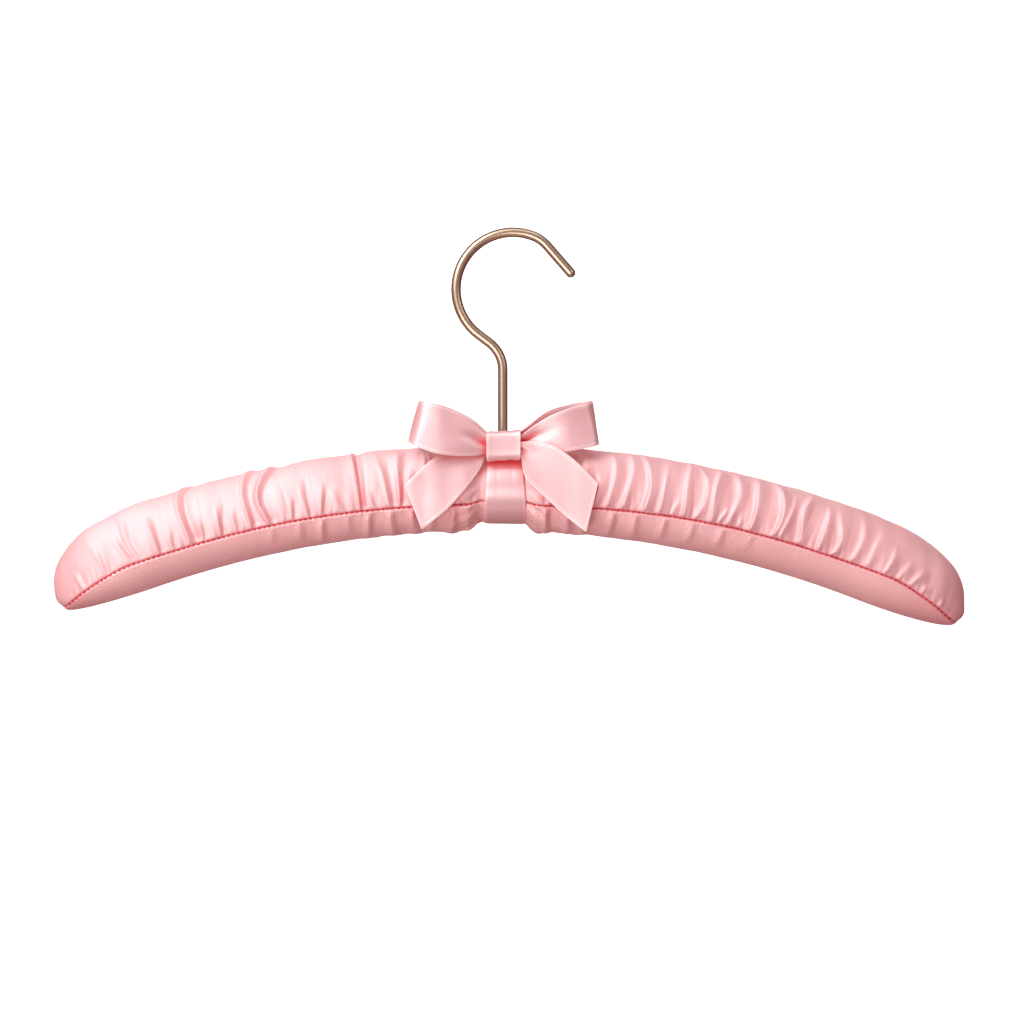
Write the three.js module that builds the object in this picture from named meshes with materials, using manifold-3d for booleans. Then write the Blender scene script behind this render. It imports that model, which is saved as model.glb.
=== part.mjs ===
// A padded satin clothes hanger: a bent wire hook that swivels in a finger-jointed wooden core,
// a sleeve of padding on each arm, a gathered satin cover, and a ribbon and bow at the middle.
// Millimetres. +X runs along the arms, +Y to the back, +Z up. The origin is the underside of the
// hook's crown, where a rail touches it.
import * as THREE from "three";
import { mergeVertices } from "three/addons/utils/BufferGeometryUtils.js";
import Module from "manifold-3d";

const wasm = await Module();
wasm.setup();

// ---- Driving dimensions ----
const GAP = 0.3; // clearance between pieces that touch

// Hook: one length of wire in the XZ plane.
const WIRE_R = 2.1;
const CROWN_R = 25; // centreline radius of the round part
const STEM_X = -4.5; // the stem stands a little left of the crown
const BEND_R = 15; // centreline radius of the bend above the stem
const BEND_Z = -58.3; // where that bend runs into the straight stem
const LIP_R = 15.8; // tighter radius before the straight end
const LIP_START = THREE.MathUtils.degToRad(70);
const LIP_END = THREE.MathUtils.degToRad(41);
const LIP_LENGTH = 15.6;
const HOOK_SIDES = 10;

// Padded bar: an arc about a centre far below, its arms hanging a little lower on the right.
const ARC_R = 463.2;
const ARC_X = -10.2;
const BAR_Z = -109.9; // the arc's highest point
const ARC_Z = BAR_Z - ARC_R;
const REACH = { left: 204.9, right: 211.8 }; // arc length from the stem to each tip
const TOP_HEIGHT = 18.6; // above and below the arc's middle line
const BOTTOM_HEIGHT = 19;
const HALF_DEPTH = 17;
const NOSE_DROP = { left: 13, right: 10.5 }; // the tip's point lies under the middle line
// Each rounding towards the tip has a length, and a power that is higher for a blunter curve.
const NOSE_TOP = { length: 56, power: 2.6 };
const NOSE_BOTTOM = { length: 44, power: 1.8 };
const NOSE_SIDE = { length: 50, power: 2.2 };
const PINCH = { top: 15.5, bottom: 15.2, depth: 15 }; // the section under the ribbon
const PINCH_FLAT = 9;
const PINCH_END = 17;

// Cover: a gathered top panel and a plain under panel on each arm, sewn front and back.
const COVER_T = 0.8;
const SEAM_GAP = 2;
const SEAM_ANGLE_MIDDLE = THREE.MathUtils.degToRad(24);
const SEAM_ANGLE = {
  left: THREE.MathUtils.degToRad(21),
  right: THREE.MathUtils.degToRad(16.5),
};
const UNDER_SHORT = 3; // how far the under panel stops before the tip
const MOST_MARGIN = 0.4; // radians from the seam to a panel's edge, where the section is small
const SEAM_SETTLES = 110; // arc length over which the seam reaches its arm's own angle
const THREAD_R = 0.4;
const THREAD_START = 10; // from the stem, under the edge of the ribbon
const THREAD_SHORT = 9; // how far the thread stops before the tip

// Core and swivel.
const CORE_HALF_HEIGHT = 9.5;
const CORE_HALF_DEPTH = 6;
const CORE_SHORT = 22; // how far the core stops before the tip
const FINGER = 7;
const SOCKET = 2 * FINGER + 1.2;
const STEM_HOLE_R = 2.7;
const STEM_HOLE_SIDES = 16;
const WASHER = { r: 5.5, t: 1 };
const HEAD = { r: 3.8, height: 2 }; // the peened foot of the stem
const SHOULDER = { r: 3.3, height: 1.6 };
const PAD_START = 7.5; // the padding leaves room for the washers
const PAD_CLEAR = 0.8; // the cover's flat facets come a little inside its curve

// Ribbon and bow.
const RIBBON_T = 0.5;
const BAND_HALF_WIDTH = 8.75;
const BAND_GAP = 0.5;
const KNOT = { y: -14, z: -91.9, halfWidth: 7.5, halfHeight: 6.4, halfDepth: 4 };

// ---- Materials ----
const material = (color, roughness, metalness = 0) =>
  new THREE.MeshStandardMaterial({ color, roughness, metalness });
const bronze = material(0x9a8068, 0.35, 1);
const steel = material(0xb8b8b4, 0.4, 1);
const wood = material(0xcfae7d, 0.7);
const batting = material(0xf3f0ea, 0.95);
const satin = material(0xefb2b6, 0.4);
const ribbonSatin = material(0xf4bcc0, 0.38);
const threadRed = material(0xc9545c, 0.7);

// ---- Helpers ----
const hanger = new THREE.Group();

function add(name, geometry, finish) {
  const mesh = new THREE.Mesh(geometry, finish);
  mesh.name = name;
  hanger.add(mesh);
  return mesh;
}

function toSolid(geometry) {
  const bare = geometry.clone();
  bare.deleteAttribute("normal");
  bare.deleteAttribute("uv");
  const merged = mergeVertices(bare, 1e-4);
  return new wasm.Manifold(
    new wasm.Mesh({
      numProp: 3,
      vertProperties: new Float32Array(merged.attributes.position.array),
      triVerts: new Uint32Array(merged.index.array),
    }),
  );
}

function toGeometry(solid) {
  const mesh = solid.getMesh();
  return new THREE.BufferGeometry()
    .setAttribute("position", new THREE.BufferAttribute(mesh.vertProperties, 3))
    .setIndex(new THREE.BufferAttribute(mesh.triVerts, 1));
}

const cut = (blank, ...tools) =>
  toGeometry(tools.reduce((left, tool) => left.subtract(toSolid(tool)), toSolid(blank)));

const join = (...pieces) =>
  toGeometry(pieces.map(toSolid).reduce((all, piece) => all.add(piece)));

// Skins a row of rings of equal length. A ring whose points all coincide is a pole. The first and
// last rings are capped, or joined to each other when the row is a closed loop.
function loft(rings, closedLoop = false) {
  const count = rings[0].length;
  const points = rings.flat();
  const triangles = [];
  const triangle = (a, b, c) => {
    const [p, q, r] = [points[a], points[b], points[c]];
    const tiny = 1e-6;
    if (p.distanceTo(q) > tiny && q.distanceTo(r) > tiny && r.distanceTo(p) > tiny) {
      triangles.push(a, b, c);
    }
  };
  const rows = closedLoop ? rings.length : rings.length - 1;
  for (let i = 0; i < rows; i++) {
    const next = (i + 1) % rings.length;
    for (let j = 0; j < count; j++) {
      const k = (j + 1) % count;
      triangle(i * count + j, i * count + k, next * count + k);
      triangle(i * count + j, next * count + k, next * count + j);
    }
  }
  if (!closedLoop) {
    // Each cap is a ladder from a ring's first half to its second, so a C-shaped ring works too.
    const last = (rings.length - 1) * count;
    for (let j = 0; j < count / 2 - 1; j++) {
      const [near, far] = [count - 2 - j, count - 1 - j];
      triangle(j, near, j + 1);
      triangle(j, far, near);
      triangle(last + j, last + j + 1, last + near);
      triangle(last + j, last + near, last + far);
    }
  }
  const geometry = new THREE.BufferGeometry()
    .setFromPoints(points)
    .setIndex(triangles);
  return facingOut(mergeVertices(geometry, 1e-4));
}

// Turns a closed geometry's faces outwards, by the sign of the volume that they enclose.
function facingOut(geometry) {
  const position = geometry.attributes.position;
  const index = geometry.index.array;
  const [a, b, c] = [new THREE.Vector3(), new THREE.Vector3(), new THREE.Vector3()];
  let volume = 0;
  for (let i = 0; i < index.length; i += 3) {
    a.fromBufferAttribute(position, index[i]);
    b.fromBufferAttribute(position, index[i + 1]);
    c.fromBufferAttribute(position, index[i + 2]);
    volume += a.dot(b.cross(c));
  }
  if (volume < 0) {
    for (let i = 0; i < index.length; i += 3) {
      [index[i], index[i + 1]] = [index[i + 1], index[i]];
    }
  }
  return geometry;
}

// A flat strip along a smooth path. Each station is [x, y, z, half width, lean, slope]: lean turns
// the width away from upright, seen from the front, and slope tips its upper edge to the back.
function strip(stations, thickness, steps) {
  const path = new THREE.CatmullRomCurve3(
    stations.map(([x, y, z]) => new THREE.Vector3(x, y, z)),
  );
  const shape = new THREE.CatmullRomCurve3(
    stations.map(([, , , half, lean, slope]) => new THREE.Vector3(half, lean, slope)),
  );
  const rings = [];
  for (let i = 0; i <= steps; i++) {
    const centre = path.getPoint(i / steps);
    const { x: half, y: lean, z: slope } = shape.getPoint(i / steps);
    const across = new THREE.Vector3(Math.sin(lean), slope, Math.cos(lean)).normalize();
    const normal = path.getTangent(i / steps).cross(across).normalize();
    const corner = (side, face) =>
      centre
        .clone()
        .addScaledVector(across, side * half)
        .addScaledVector(normal, (face * thickness) / 2);
    rings.push([corner(1, 1), corner(1, -1), corner(-1, -1), corner(-1, 1)]);
  }
  return loft(rings);
}

const upright = (geometry) => geometry.rotateX(Math.PI / 2);

// ---- Hook ----
class Arc extends THREE.Curve {
  constructor(x, z, radius, from, to) {
    super();
    Object.assign(this, { x, z, radius, from, to });
  }
  getPoint(t, target = new THREE.Vector3()) {
    const angle = this.from + (this.to - this.from) * t;
    const [across, up] = [Math.cos(angle), Math.sin(angle)];
    return target.set(this.x + this.radius * across, 0, this.z + this.radius * up);
  }
}

function hookPath(stemFoot) {
  const crownZ = WIRE_R - CROWN_R;
  const bendX = STEM_X - BEND_R;
  const between = new THREE.Vector2(-bendX, crownZ - BEND_Z);
  // The straight piece touches both circles, which lie on opposite sides of it.
  const turn = between.angle() - Math.acos((CROWN_R + BEND_R) / between.length());
  const bend = new Arc(bendX, BEND_Z, BEND_R, 0, turn);
  const crown = new Arc(0, crownZ, CROWN_R, turn + Math.PI, LIP_START);
  const inset = CROWN_R - LIP_R;
  const lipX = inset * Math.cos(LIP_START);
  const lipZ = crownZ + inset * Math.sin(LIP_START);
  const lip = new Arc(lipX, lipZ, LIP_R, LIP_START, LIP_END);
  const lipEnd = lip.getPoint(1);
  const tip = new THREE.Vector3(
    lipEnd.x + LIP_LENGTH * Math.sin(LIP_END),
    0,
    lipEnd.z - LIP_LENGTH * Math.cos(LIP_END),
  );
  const path = new THREE.CurvePath();
  path.add(new THREE.LineCurve3(new THREE.Vector3(STEM_X, 0, stemFoot), bend.getPoint(0)));
  path.add(bend);
  path.add(new THREE.LineCurve3(bend.getPoint(1), crown.getPoint(0)));
  path.add(crown);
  path.add(lip);
  path.add(new THREE.LineCurve3(lipEnd, tip));
  return { path, tip };
}

function roundSection(radius, sides) {
  const corners = Array.from({ length: sides }, (_, i) => {
    const angle = (2 * Math.PI * i) / sides;
    return new THREE.Vector2(radius * Math.cos(angle), radius * Math.sin(angle));
  });
  return new THREE.Shape(corners);
}

// A turned piece on the stem, its profile given as [radius, height] pairs from the axis round.
function turned(profile, z, segments = HOOK_SIDES) {
  const points = profile.map(([r, h]) => new THREE.Vector2(r, h));
  return upright(new THREE.LatheGeometry(points, segments)).translate(STEM_X, 0, z);
}

// The hole that the stem turns in, as a tool to cut with.
function stemHole(from, to) {
  const hole = new THREE.CylinderGeometry(STEM_HOLE_R, STEM_HOLE_R, to - from, STEM_HOLE_SIDES);
  return upright(hole).translate(STEM_X, 0, (from + to) / 2);
}

const coreTop = BAR_Z + CORE_HALF_HEIGHT;
const coreFoot = BAR_Z - CORE_HALF_HEIGHT - GAP;

function hook() {
  const headTop = coreFoot - WASHER.t - 2 * GAP;
  const shoulderFoot = coreTop + WASHER.t + 2 * GAP;
  const { path, tip } = hookPath(headTop - 1);
  const section = roundSection(WIRE_R, HOOK_SIDES);
  const wire = new THREE.ExtrudeGeometry(section, { extrudePath: path, steps: 60 });
  const end = new THREE.SphereGeometry(WIRE_R, HOOK_SIDES, 8).translate(tip.x, tip.y, tip.z);
  const head = turned(
    [
      [0, -HEAD.height],
      [0.6 * HEAD.r, -HEAD.height],
      [HEAD.r, -HEAD.height / 2],
      [HEAD.r, 0],
      [0, 0],
    ],
    headTop,
  );
  const shoulder = turned(
    [
      [0, 0],
      [SHOULDER.r, 0],
      [SHOULDER.r, SHOULDER.height / 2],
      [WIRE_R + 0.1, SHOULDER.height],
      [0, SHOULDER.height],
    ],
    shoulderFoot,
  );
  return join(wire, end, head, shoulder);
}

function washer(z) {
  const profile = [
    [STEM_HOLE_R, 0],
    [WASHER.r, 0],
    [WASHER.r, WASHER.t],
    [STEM_HOLE_R, WASHER.t],
    [STEM_HOLE_R, 0],
  ];
  return turned(profile, z, STEM_HOLE_SIDES);
}

// ---- Padded bar: one section function that the core, padding, cover and seams share ----
const stemAngle = Math.asin((STEM_X - ARC_X) / ARC_R);
const direction = { left: -1, right: 1 };

function rounding(distance, { length, power }, inset) {
  const left = 1 - THREE.MathUtils.clamp(distance / (length - inset), 0, 1);
  return Math.pow(1 - Math.pow(left, power), 1 / power);
}

// Distances of a section's top, bottom and widest level from the middle line, and its half depth.
function sectionSize(side, s, inset) {
  const fromTip = Math.max(0, REACH[side] - s - inset);
  const drop = NOSE_DROP[side];
  const rise = (TOP_HEIGHT - inset + drop) * rounding(fromTip, NOSE_TOP, inset);
  const fall = (BOTTOM_HEIGHT - inset - drop) * rounding(fromTip, NOSE_BOTTOM, inset);
  const swell = (HALF_DEPTH - inset) * rounding(fromTip, NOSE_SIDE, inset);
  const pinch = 1 - THREE.MathUtils.smoothstep(s, PINCH_FLAT, PINCH_END);
  const blend = (free, tied) => THREE.MathUtils.lerp(free, tied - inset, pinch);
  return {
    top: blend(rise - drop, PINCH.top),
    bottom: -blend(fall + drop, PINCH.bottom),
    depth: blend(swell, PINCH.depth),
    middle: -drop * Math.pow(Math.max(0, 1 - fromTip / NOSE_TOP.length), 1.5),
  };
}

// A point at arc length s from the stem. The angle is 0 at the front, a quarter turn at the top.
function barPoint(side, s, angle, inset = 0) {
  const size = sectionSize(side, s, inset);
  const lift = Math.sin(angle);
  const span = lift > 0 ? size.top - size.middle : size.middle - size.bottom;
  const radius = ARC_R + size.middle + span * lift;
  const turn = stemAngle + (direction[side] * s) / ARC_R;
  return new THREE.Vector3(
    ARC_X + radius * Math.sin(turn),
    -size.depth * Math.cos(angle),
    ARC_Z + radius * Math.cos(turn),
  );
}

// Arc lengths from a start to a tip, close together at the pinch and round the nose.
function stations(side, start, inset, free = 8, nose = 8) {
  const end = REACH[side] - inset;
  const noseStart = end - NOSE_TOP.length + inset;
  const pinched = [9, 11, 13, 15, PINCH_END].filter((s) => s > start);
  const plain = Array.from({ length: free }, (_, i) =>
    THREE.MathUtils.lerp(PINCH_END, noseStart, (i + 1) / free),
  );
  const round = Array.from({ length: nose }, (_, i) =>
    THREE.MathUtils.lerp(noseStart, end, Math.sin(((i + 1) / nose) * (Math.PI / 2))),
  );
  return [start, ...pinched, ...plain, ...round];
}

const seamAngle = (side, s) =>
  THREE.MathUtils.lerp(
    SEAM_ANGLE_MIDDLE,
    SEAM_ANGLE[side],
    THREE.MathUtils.smoothstep(s, 0, SEAM_SETTLES),
  );

// The top panel closes the tip's point, and the under panel stops a little short of it.
function panel(side, isTop) {
  const divisions = isTop ? 12 : 6;
  const last = REACH[side] - (isTop ? 0 : UNDER_SHORT);
  const along = stations(side, GAP / 2, 0).filter((s) => s < last);
  const rings = [...along, last].map((s) => {
    const size = sectionSize(side, s, 0);
    const gapAngle = SEAM_GAP / (size.top - size.bottom + 0.1);
    const margin = Math.min(MOST_MARGIN, gapAngle);
    const seam = seamAngle(side, s);
    const from = isTop ? -seam + margin : Math.PI + seam + margin;
    const to = isTop ? Math.PI + seam - margin : 2 * Math.PI - seam - margin;
    const angles = Array.from({ length: divisions + 1 }, (_, i) =>
      THREE.MathUtils.lerp(from, to, i / divisions),
    );
    const inner = Math.min(s, REACH[side] - COVER_T);
    return [
      ...angles.map((angle) => barPoint(side, s, angle)),
      ...angles.reverse().map((angle) => barPoint(side, inner, angle, COVER_T)),
    ];
  });
  return cut(loft(rings), stemHole(BAR_Z, BAR_Z + 2 * TOP_HEIGHT));
}

function padding(side) {
  const inset = COVER_T + PAD_CLEAR;
  const around = 16;
  const rings = stations(side, PAD_START, inset, 7, 6).map((s) =>
    Array.from({ length: around }, (_, i) =>
      barPoint(side, s, (2 * Math.PI * i) / around, inset),
    ),
  );
  return cut(loft(rings), coreBar(side, GAP));
}

// A bar of even height along the arc with a round end, from past the stem to near the tip.
function coreBar(side, extra = 0) {
  const half = CORE_HALF_HEIGHT + extra;
  const sign = direction[side];
  const start = stemAngle - (sign * FINGER) / ARC_R;
  const end = stemAngle + (sign * (REACH[side] - CORE_SHORT - CORE_HALF_HEIGHT)) / ARC_R;
  const [from, to] = [Math.PI / 2 - start, Math.PI / 2 - end];
  const outline = new THREE.Shape();
  const clockwise = side === "right";
  const [endX, endZ] = [ARC_R * Math.sin(end), ARC_R * Math.cos(end)];
  outline.absarc(0, 0, ARC_R + half, from, to, clockwise);
  outline.absarc(endX, endZ, half, to, to - sign * Math.PI, clockwise);
  outline.absarc(0, 0, ARC_R - half, to, from, !clockwise);
  const depth = 2 * (CORE_HALF_DEPTH + extra);
  const bar = new THREE.ExtrudeGeometry(outline, { depth, bevelEnabled: false, curveSegments: 12 });
  return upright(bar).translate(ARC_X, depth / 2, ARC_Z);
}

// The arms interlock: the right arm's one finger lies between the left arm's two.
function coreArm(side) {
  const finger = CORE_HALF_HEIGHT / 3;
  const outside = CORE_HALF_HEIGHT + 2;
  const socket = (from, to) =>
    new THREE.BoxGeometry(SOCKET, 4 * CORE_HALF_DEPTH, to - from).translate(
      STEM_X,
      0,
      BAR_Z + (from + to) / 2,
    );
  const sockets = {
    left: [socket(-finger - GAP, finger + GAP)],
    right: [socket(-outside, -finger), socket(finger, outside)],
  };
  return cut(coreBar(side), ...sockets[side], stemHole(BAR_Z - 2 * outside, BAR_Z + 2 * outside));
}

function seamThread(side, back) {
  const sunk = 0.2; // below the cover's surface
  const points = stations(side, THREAD_START, 0, 14)
    .filter((s) => s < REACH[side] - THREAD_SHORT)
    .map((s) => {
      const seam = seamAngle(side, s);
      return barPoint(side, s, back ? Math.PI + seam : -seam, sunk);
    });
  return new THREE.ExtrudeGeometry(roundSection(THREAD_R, 6), {
    extrudePath: new THREE.CatmullRomCurve3(points),
    steps: 28,
  });
}

// ---- Ribbon ----
// A closed ring of ribbon round an oval in the YZ plane, with its width along X.
function ring(oval, halfWidth, segments) {
  const rings = Array.from({ length: segments }, (_, i) => {
    const angle = (2 * Math.PI * i) / segments;
    const outer = oval(angle, 0);
    const inner = oval(angle, RIBBON_T);
    const corner = ([y, z], x) => new THREE.Vector3(x, y, z);
    return [
      corner(outer, -halfWidth),
      corner(outer, halfWidth),
      corner(inner, halfWidth),
      corner(inner, -halfWidth),
    ];
  });
  return loft(rings, true);
}

function centreBand() {
  const oval = (angle, inset) => {
    const proud = BAND_GAP + RIBBON_T - inset;
    const height = (Math.sin(angle) > 0 ? PINCH.top : PINCH.bottom) + proud;
    return [-(PINCH.depth + proud) * Math.cos(angle), height * Math.sin(angle)];
  };
  const band = ring(oval, BAND_HALF_WIDTH, 28)
    .rotateY(stemAngle)
    .translate(STEM_X, 0, BAR_Z);
  return cut(band, stemHole(BAR_Z, BAR_Z + 2 * TOP_HEIGHT));
}

function knot() {
  const squareness = 0.6; // under 1 flattens the oval's sides
  const bulge = (value) => Math.sign(value) * Math.pow(Math.abs(value), squareness);
  const oval = (angle, inset) => [
    -(KNOT.halfDepth - inset) * bulge(Math.cos(angle)),
    (KNOT.halfHeight - inset) * bulge(Math.sin(angle)),
  ];
  return ring(oval, KNOT.halfWidth, 20).translate(STEM_X, KNOT.y, KNOT.z);
}

// Loops and tails, as stations of [x, y, z, half width, lean, slope].
const leftLoop = [
  [-5.2, -15.8, -91.8, 4.2, 0, 0],
  [-12, -16, -91.6, 4.2, 0.03, 0],
  [-20, -17.8, -88.6, 7.3, 0.12, 0.1],
  [-32, -17.8, -84.3, 9.2, 0.22, 0.1],
  [-40.6, -14.4, -81.9, 9.3, 0.27, 0],
  [-43.2, -11.2, -81.3, 9.3, 0.27, 0],
  [-40.4, -8, -81.6, 9.2, 0.27, 0],
  [-31, -7, -83.2, 8.6, 0.2, 0],
  [-20, -8, -86.2, 6.2, 0.1, 0],
  [-12, -12.4, -91, 3.8, 0.03, 0],
  [-5.2, -12.9, -91.6, 3.6, 0, 0],
];
const rightLoop = [
  [-3.8, -15.4, -91.8, 4.2, 0, 0],
  [3, -15.2, -91.4, 4.2, -0.03, 0],
  [11, -16.4, -88.2, 7.3, -0.06, 0],
  [23, -17, -84.2, 9.2, -0.1, 0],
  [32.8, -14.6, -82.3, 9.4, -0.14, 0],
  [35.4, -11.4, -81.9, 9.4, -0.14, 0],
  [32.6, -8.2, -81.7, 9.3, -0.14, 0],
  [22, -7, -83, 8.7, -0.1, 0],
  [11, -8, -86, 6.4, -0.06, 0],
  [3, -12.4, -90.8, 3.8, -0.03, 0],
  [-3.8, -12.9, -91.6, 3.6, 0, 0],
];
const leftTail = [
  [-8, -14.3, -92.8, 2.6, -0.1, 0],
  [-12.6, -14.4, -94, 2.9, -0.3, 0],
  [-17, -15.2, -97.8, 5.6, -0.6, 0.1],
  [-22.5, -17.4, -102.2, 9, -0.68, 0.25],
  [-30, -19.2, -109.2, 9.8, -0.72, 0.1],
  [-37.5, -19.8, -115, 10, -0.6, 0],
  [-42.8, -20, -118.6, 10.3, -0.38, 0],
];
const rightTail = [
  [-1, -16.5, -92.6, 2.4, 0.1, 0],
  [3.6, -16.6, -93.6, 2.8, 0.2, 0],
  [9, -18.2, -98.6, 7.4, 0.62, 0.15],
  [14, -19.4, -103.4, 9.8, 0.72, 0.1],
  [21.5, -20, -109.6, 10, 0.76, 0],
  [28.5, -20, -115, 10, 0.6, 0],
  [33.8, -20, -118.6, 10.6, 0.25, 0],
];

// The stitches between the back of the knot and the centre band, as one small bundle.
function tack() {
  const lean = THREE.MathUtils.degToRad(28);
  return new THREE.SphereGeometry(1, 10, 6)
    .scale(3.2, 0.95, 0.55)
    .rotateX(-lean)
    .translate(STEM_X, -8.7, -94.6);
}

// ---- Assembly ----
add("hook", hook(), bronze);
add("upper_washer", washer(coreTop + GAP), steel);
add("lower_washer", washer(coreFoot - WASHER.t), steel);
for (const side of ["left", "right"]) {
  add(`${side}_core_arm`, coreArm(side), wood);
  add(`${side}_padding`, padding(side), batting);
  add(`${side}_top_cover`, panel(side, true), satin);
  add(`${side}_under_cover`, panel(side, false), satin);
  add(`${side}_front_seam`, seamThread(side, false), threadRed);
  add(`${side}_back_seam`, seamThread(side, true), threadRed);
}
add("centre_band", centreBand(), ribbonSatin);
add("bow_knot", knot(), ribbonSatin);
add("left_bow_loop", strip(leftLoop, RIBBON_T, 26), ribbonSatin);
add("right_bow_loop", strip(rightLoop, RIBBON_T, 26), ribbonSatin);
add("left_bow_tail", strip(leftTail, RIBBON_T, 12), ribbonSatin);
add("right_bow_tail", strip(rightTail, RIBBON_T, 12), ribbonSatin);
add("bow_tack", tack(), threadRed);

export default hanger;
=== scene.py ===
import math

import bmesh
import bpy
import numpy as np
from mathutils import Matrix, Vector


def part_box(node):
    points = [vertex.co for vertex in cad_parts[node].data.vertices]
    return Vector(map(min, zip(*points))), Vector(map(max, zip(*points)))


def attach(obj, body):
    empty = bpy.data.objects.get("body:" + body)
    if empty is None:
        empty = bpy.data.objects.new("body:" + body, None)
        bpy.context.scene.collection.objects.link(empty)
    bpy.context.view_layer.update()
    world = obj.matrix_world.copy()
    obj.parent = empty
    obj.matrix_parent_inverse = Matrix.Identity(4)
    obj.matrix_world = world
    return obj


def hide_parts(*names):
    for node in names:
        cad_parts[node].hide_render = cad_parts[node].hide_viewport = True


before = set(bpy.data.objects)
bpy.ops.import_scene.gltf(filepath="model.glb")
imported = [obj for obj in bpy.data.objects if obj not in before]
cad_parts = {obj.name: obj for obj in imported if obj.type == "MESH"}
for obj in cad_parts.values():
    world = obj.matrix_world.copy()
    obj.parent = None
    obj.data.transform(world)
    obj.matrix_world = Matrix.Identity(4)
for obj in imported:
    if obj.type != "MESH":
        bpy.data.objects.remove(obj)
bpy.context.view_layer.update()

# Shapes are worked out in millimetres, in the frame of the CAD model: +X along the arms, +Y to the
# back and +Z up, with the origin under the crown of the hook.
MM = 0.001
SIDES = {"left": -1, "right": 1}

# ---- Driving sizes ----
# They are the CAD model's, apart from the left tip's drop, the corners under the tips and the end of
# the pinch, which follow the real outline a little more closely.
WIRE_R = 2.1
CROWN_R = 25
BEND_R = 15
BEND_Z = -58.3
LIP_R = 15.8
LIP_START = math.radians(70)
LIP_END = math.radians(41)
LIP_LENGTH = 15.6
STEM_X = sum(corner.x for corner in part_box("upper_washer")) / 2 / MM
CORE_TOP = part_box("left_core_arm")[1].z / MM
CORE_HALF_HEIGHT = 9.5
CORE_END = 22
WASHER_T = 1.0
GAP = 0.3
# Profiles turned round the stem: radius and height.
HEAD_PROFILE = [(0, -2), (1.4, -1.95), (2.6, -1.6), (3.5, -0.9), (3.8, -0.2), (3.6, 0), (0, 0)]
SHOULDER_PROFILE = [(0, 0), (3.1, 0), (3.3, 0.15), (3.3, 0.75), (2.9, 1.15), (2.2, 1.6), (0, 1.6)]

ARC_R = 463.2
ARC_X = -10.2
BAR_Z = CORE_TOP - CORE_HALF_HEIGHT
ARC_Z = BAR_Z - ARC_R
STEM_ANGLE = math.asin((STEM_X - ARC_X) / ARC_R)
REACH = {"left": 204.9, "right": 211.8}
TOP_HEIGHT = 18.6
BOTTOM_HEIGHT = 19
HALF_DEPTH = 17
NOSE_DROP = {"left": 12.2, "right": 10.5}
# How the bar rounds off towards a tip, above, below and at the sides: the length that it takes, and
# the power of its curve, where 2 is an ellipse.
NOSE_TOP = (56, 2.6)
NOSE_BOTTOM = (44, 1.8)
NOSE_SIDE = (50, 2.2)
# At the tip's lower corner: how far the seam's end is drawn in, and the cloth above it let out.
NOSE_CORNER = {"left": (1.6, 0.5), "right": (0.6, 1.4)}
DRAWN_IN_REACH = 2.2
LET_OUT_AT = 5
CORNER_REACH = 4
PINCH_TOP = 15.5
PINCH_BOTTOM = 15.2
PINCH_DEPTH = 15
PINCH_FLAT = 9
PINCH_END = 16
SEAM_ANGLE_MIDDLE = math.radians(24)
SEAM_ANGLE = {"left": math.radians(21), "right": math.radians(16.5)}
SEAM_SETTLES = 110

# ---- Cloth and thread ----
SATIN_T = 0.35
RIBBON_T = 0.32
FOLD_DEPTH = 1.35
SEAM_DEPTH = 0.8
SEAM_WIDTH = 0.6
STITCH_PITCH = 2.3
STITCH_R = 0.36
STITCH_GAP = 0.32
STITCH_ARCH = 0.28
STITCH_INSET = 0.4
FIRST_STITCH = 10.5
LAST_STITCH = 4
PANEL_START = 0.3
TOP_OF_PANEL = 35
RIBBON_WIDTH = 20.0
BAND_WIDTH = 18.6
KNOT_WIDTH = 15.0

# ---- Batting ----
BATTING_START = 8
BATTING_INSET = 0.9
BATTING_SHRINK = 0.985
BATTING_GRID = (90, 40)
HOLLOW_HALF_DEPTH = 6.6
HOLLOW_HALF_HEIGHT = 10.1
HOLLOW_SQUARENESS = 0.35
HOLLOW_MARGIN = 0.6
HOLLOW_TAPER = 10

# ---- Colours ----
COVER_PINK = (0.68, 0.405, 0.42, 1)
COVER_DEEP = (0.64, 0.3, 0.315, 1)
# The under panel's pinks are redder than the top's: painted shade for the side that faces down.
UNDER_PINK_SHADED = (0.72, 0.375, 0.385, 1)
UNDER_DEEP_SHADED = (0.68, 0.29, 0.3, 1)
RIBBON_PINK = (0.64, 0.43, 0.45, 1)
RIBBON_DEEP = (0.6, 0.3, 0.315, 1)
PALE_THREAD = (1.0, 0.86, 0.87, 1)
# Deep red painted into folds and under layers as painted shade.
FOLD_SHADE_RED = (0.85, 0.1, 0.11, 1)
ROSY_DARK = (0.2, 0.05, 0.045, 1)
ROSY_LIGHT = (0.5, 0.37, 0.365, 1)

# ---- Selvedge, in millimetres from the ribbon's edge ----
RIM_WIDTH = 0.38
FURROW = (0.75, 0.25)
DOTTED_LINE = (1.15, 0.2)
DOT_PITCH = 0.95


# ---- Number helpers ----
def smoothstep(values, start, end):
    t = np.clip((values - start) / (end - start), 0, 1)
    return t * t * (3 - 2 * t)


def mix(a, b, t):
    return a + (b - a) * t


def spline(points, count):
    """Points evenly spread along a smooth curve through given ones, column by column."""
    points = np.asarray(points, float)
    padded = np.vstack([2 * points[0] - points[1], points, 2 * points[-1] - points[-2]])
    t = np.linspace(0, len(points) - 1 - 1e-9, count)
    i = t.astype(int)
    f = (t - i)[:, None]
    a, b, c, d = padded[i], padded[i + 1], padded[i + 2], padded[i + 3]
    return 0.5 * (
        2 * b
        + (c - a) * f
        + (2 * a - 5 * b + 4 * c - d) * f**2
        + (3 * b - a - 3 * c + d) * f**3
    )


def unit(vectors):
    length = np.linalg.norm(vectors, axis=-1, keepdims=True)
    return vectors / np.maximum(length, 1e-9)


def grid_normals(grid):
    return unit(np.cross(np.gradient(grid, axis=0), np.gradient(grid, axis=1)))


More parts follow.
